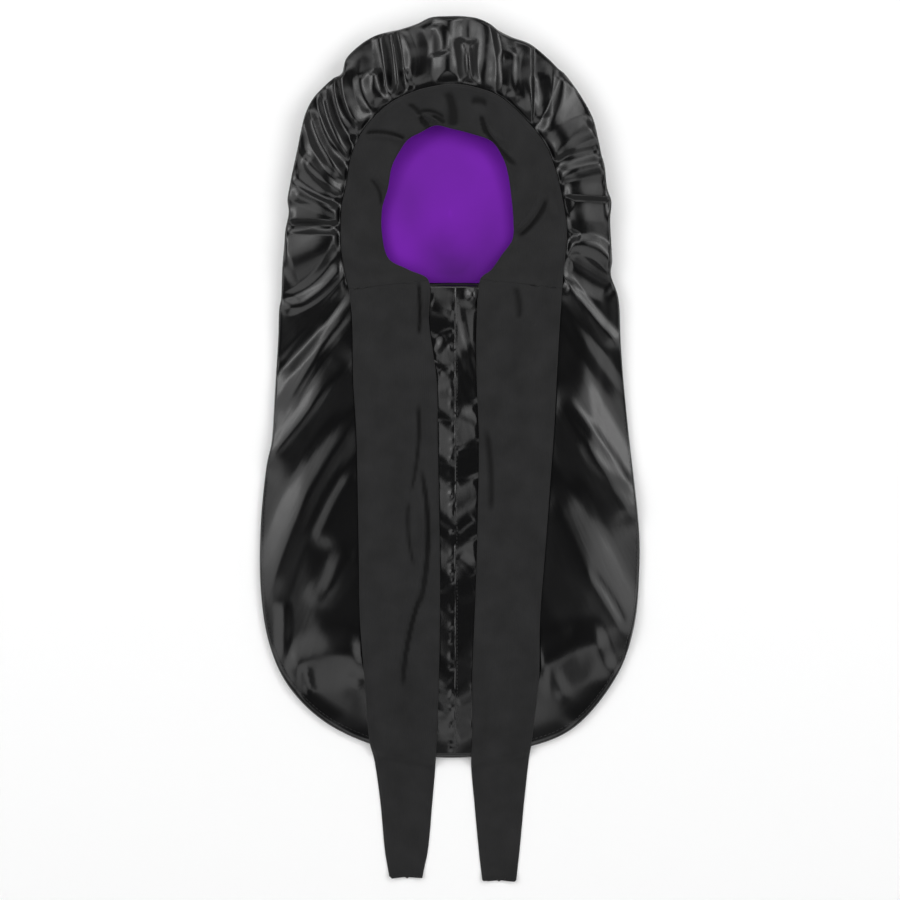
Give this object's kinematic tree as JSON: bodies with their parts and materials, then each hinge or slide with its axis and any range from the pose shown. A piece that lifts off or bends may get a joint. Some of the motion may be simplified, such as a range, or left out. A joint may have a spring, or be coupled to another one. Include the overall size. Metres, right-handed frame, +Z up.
{
  "type": "sleep bonnet",
  "caption": "Long satin sleep bonnet for braids, lying flat with its elastic face opening up, a gathered crown, a smooth lining and two long tie bands.",
  "frame": {"origin": "middle of the outline, ties included, on the surface that the bonnet lies on", "axes": "+Z up, out of the face opening; +Y along the bonnet from the tie ends to the crown; +X to the right seen from above"},
  "size_m": [0.3431, 0.7782, 0.0361],
  "materials": {
    "black_satin": "glossy woven satin, black",
    "purple_satin": "smooth woven satin, purple",
    "black_jersey": "matt stretch jersey, black"
  },
  "bodies": {
    "root": {"satin_shell": "black_satin", "satin_lining": "purple_satin", "face_band": "black_jersey", "tie_left": "black_jersey", "tie_right": "black_jersey"}
  },
  "joints": []
}
